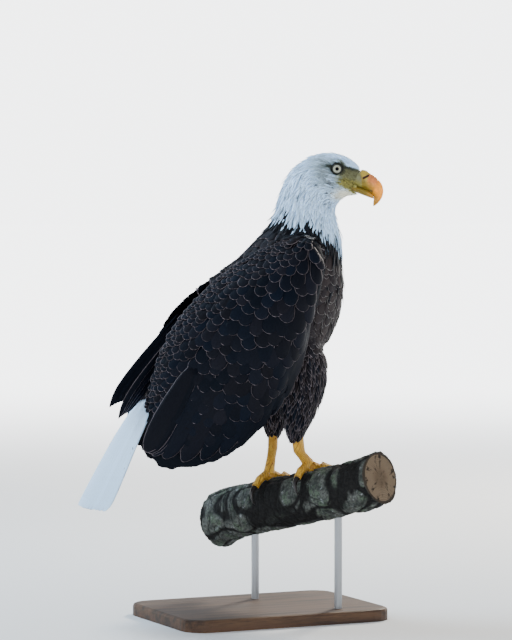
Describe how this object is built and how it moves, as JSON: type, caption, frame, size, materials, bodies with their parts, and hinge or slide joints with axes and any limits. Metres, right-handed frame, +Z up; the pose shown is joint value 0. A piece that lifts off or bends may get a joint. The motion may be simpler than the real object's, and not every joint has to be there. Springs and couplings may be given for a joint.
{
  "type": "bald eagle, still model on a display stand",
  "caption": "Perched bald eagle, wings folded, head turned and tipped down, gripping a short length of limb on a plain stand",
  "frame": {"origin": "on the floor, at the middle of the whole model's box", "axes": "+X the way the bird's breast faces, +Y its left, +Z up"},
  "size_m": [0.5576, 0.3929, 0.8362],
  "materials": {
    "white_feathers": "matte white plumage, coolly shaded",
    "tail_feathers": "matte white tail feathers",
    "dark_feathers": "near-black brown plumage with thin pale fringes",
    "leg_skin": "yellow scaly skin",
    "cere_skin": "waxy yellow-olive skin",
    "bill_horn": "orange-yellow horn, smooth and slightly glossy",
    "claw_horn": "glossy black horn",
    "eye_surface": "wet, glossy, pale iris and black pupil",
    "bark": "rough grey-brown bark, cut ends",
    "stand_board": "dark stained wood, satin",
    "stand_rod": "brushed steel"
  },
  "bodies": {
    "root": {"head": "white_feathers", "neck": "white_feathers", "trunk": "dark_feathers", "tail": "tail_feathers", "wing_right": "dark_feathers", "wing_left": "dark_feathers", "primaries_right": "dark_feathers", "primaries_left": "dark_feathers", "thigh_right": "dark_feathers", "thigh_left": "dark_feathers", "tarsus_right": "leg_skin", "tarsus_left": "leg_skin", "cere": "cere_skin", "bill_upper": "bill_horn", "bill_lower": "bill_horn", "eye_right": "eye_surface", "eye_left": "eye_surface", "perch": "bark", "stand_base": "stand_board", "stand_rod_left": "stand_rod", "stand_rod_right": "stand_rod", "toe_left_1": "leg_skin", "claw_left_1": "claw_horn", "toe_left_2": "leg_skin", "claw_left_2": "claw_horn", "toe_left_3": "leg_skin", "claw_left_3": "claw_horn", "toe_left_4": "leg_skin", "claw_left_4": "claw_horn", "toe_right_1": "leg_skin", "claw_right_1": "claw_horn", "toe_right_2": "leg_skin", "claw_right_2": "claw_horn", "toe_right_3": "leg_skin", "claw_right_3": "claw_horn", "toe_right_4": "leg_skin", "claw_right_4": "claw_horn"}
  },
  "joints": []
}
